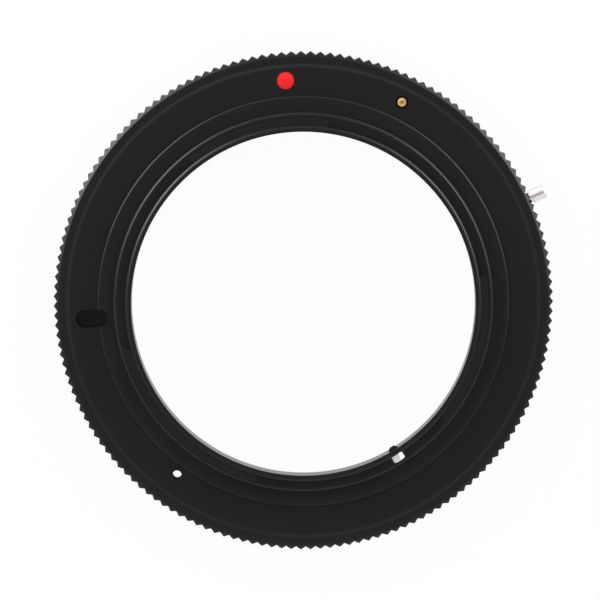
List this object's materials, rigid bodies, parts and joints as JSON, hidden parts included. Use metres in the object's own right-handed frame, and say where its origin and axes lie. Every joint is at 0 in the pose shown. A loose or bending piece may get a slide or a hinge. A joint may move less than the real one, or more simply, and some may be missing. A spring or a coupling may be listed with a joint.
{
  "type": "lens mount adapter",
  "caption": "Thin black ring with a toothed grip rim that joins a bayonet lens to a camera of another bayonet, with a sprung lens lock and a release rod.",
  "frame": {"origin": "centre of the ring on the plane of the camera seat", "axes": "+Z along the light path towards the camera, +X to the right and +Y up as seen from the camera"},
  "size_m": [0.065, 0.065, 0.0099],
  "materials": {
    "black_anodised_aluminium": "satin black anodised, turned",
    "satin_chrome_on_brass": "satin chrome plated",
    "bright_steel": "bright turned",
    "spring_steel": "rolled strip",
    "turned_brass": "turned",
    "red_enamel": "gloss enamel"
  },
  "bodies": {
    "adapter": {"adapter_body": "black_anodised_aluminium", "lens_mount_plate": "satin_chrome_on_brass", "plate_screws": "bright_steel", "bayonet_spring_1": "spring_steel", "bayonet_spring_2": "spring_steel", "bayonet_spring_3": "spring_steel", "stop_screw": "bright_steel", "lens_stop_pin": "bright_steel", "index_dot": "red_enamel", "lens_index_dot": "red_enamel"},
    "release": {"release_leaf": "spring_steel", "release_rod": "bright_steel", "lock_pin": "turned_brass"}
  },
  "joints": [
    {"name": "lens_release", "type": "hinge", "parent": "adapter", "child": "release", "pos_m": [0.02887, 0.0005, -0.00345], "axis": [0.9998, 0.0175, 0], "range_deg": [0, 2.3], "stiffness_Nm_per_rad": 1, "springref_deg": -1.15, "deforming": ["release_leaf"]}
  ]
}
